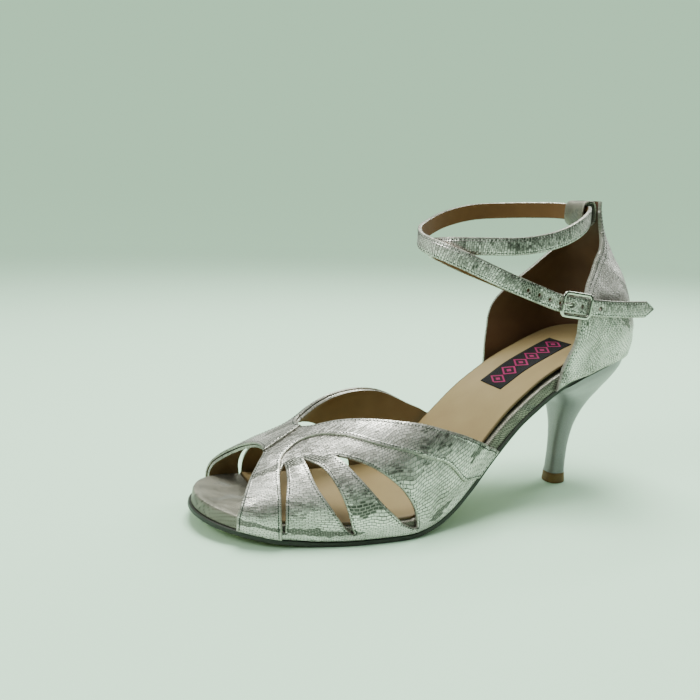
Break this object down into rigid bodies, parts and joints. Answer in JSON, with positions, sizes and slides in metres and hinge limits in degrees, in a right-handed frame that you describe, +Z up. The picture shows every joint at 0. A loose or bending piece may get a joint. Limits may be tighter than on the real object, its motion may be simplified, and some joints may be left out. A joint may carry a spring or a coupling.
{
  "type": "ballroom dance shoe",
  "caption": "Left open-toe dance sandal with leaf cut-outs, closed heel counter, crossed ankle strap with buckle and a slim flared heel.",
  "frame": {"origin": "on the floor under the middle of the tread, at the sole_rest mount", "axes": "+X from toe to heel, +Y to the inner side of the foot, +Z up"},
  "size_m": [0.2376, 0.0867, 0.1541],
  "materials": {
    "silver_leather": "silver foil snake-print leather, glossy cells",
    "lining_beige": "matte tan lining leather",
    "label": "woven, matte",
    "sole_suede": "brushed suede, black painted edge",
    "heel_cover": "pearl grey satin cover",
    "heel_tip": "matte tan",
    "buckle_metal": "polished nickel"
  },
  "bodies": {
    "root": {"outsole": "sole_suede", "insole_platform": "silver_leather", "insole_sock": "lining_beige", "insole_label": "label", "vamp": "silver_leather", "vamp_band_lateral": "silver_leather", "vamp_band_medial": "silver_leather", "heel_counter": "silver_leather", "strap_loop": "silver_leather", "ankle_strap": "silver_leather", "buckle_frame": "buckle_metal", "buckle_prong": "buckle_metal", "buckle_tab": "silver_leather", "heel": "heel_cover", "heel_tip": "heel_tip"}
  },
  "joints": []
}
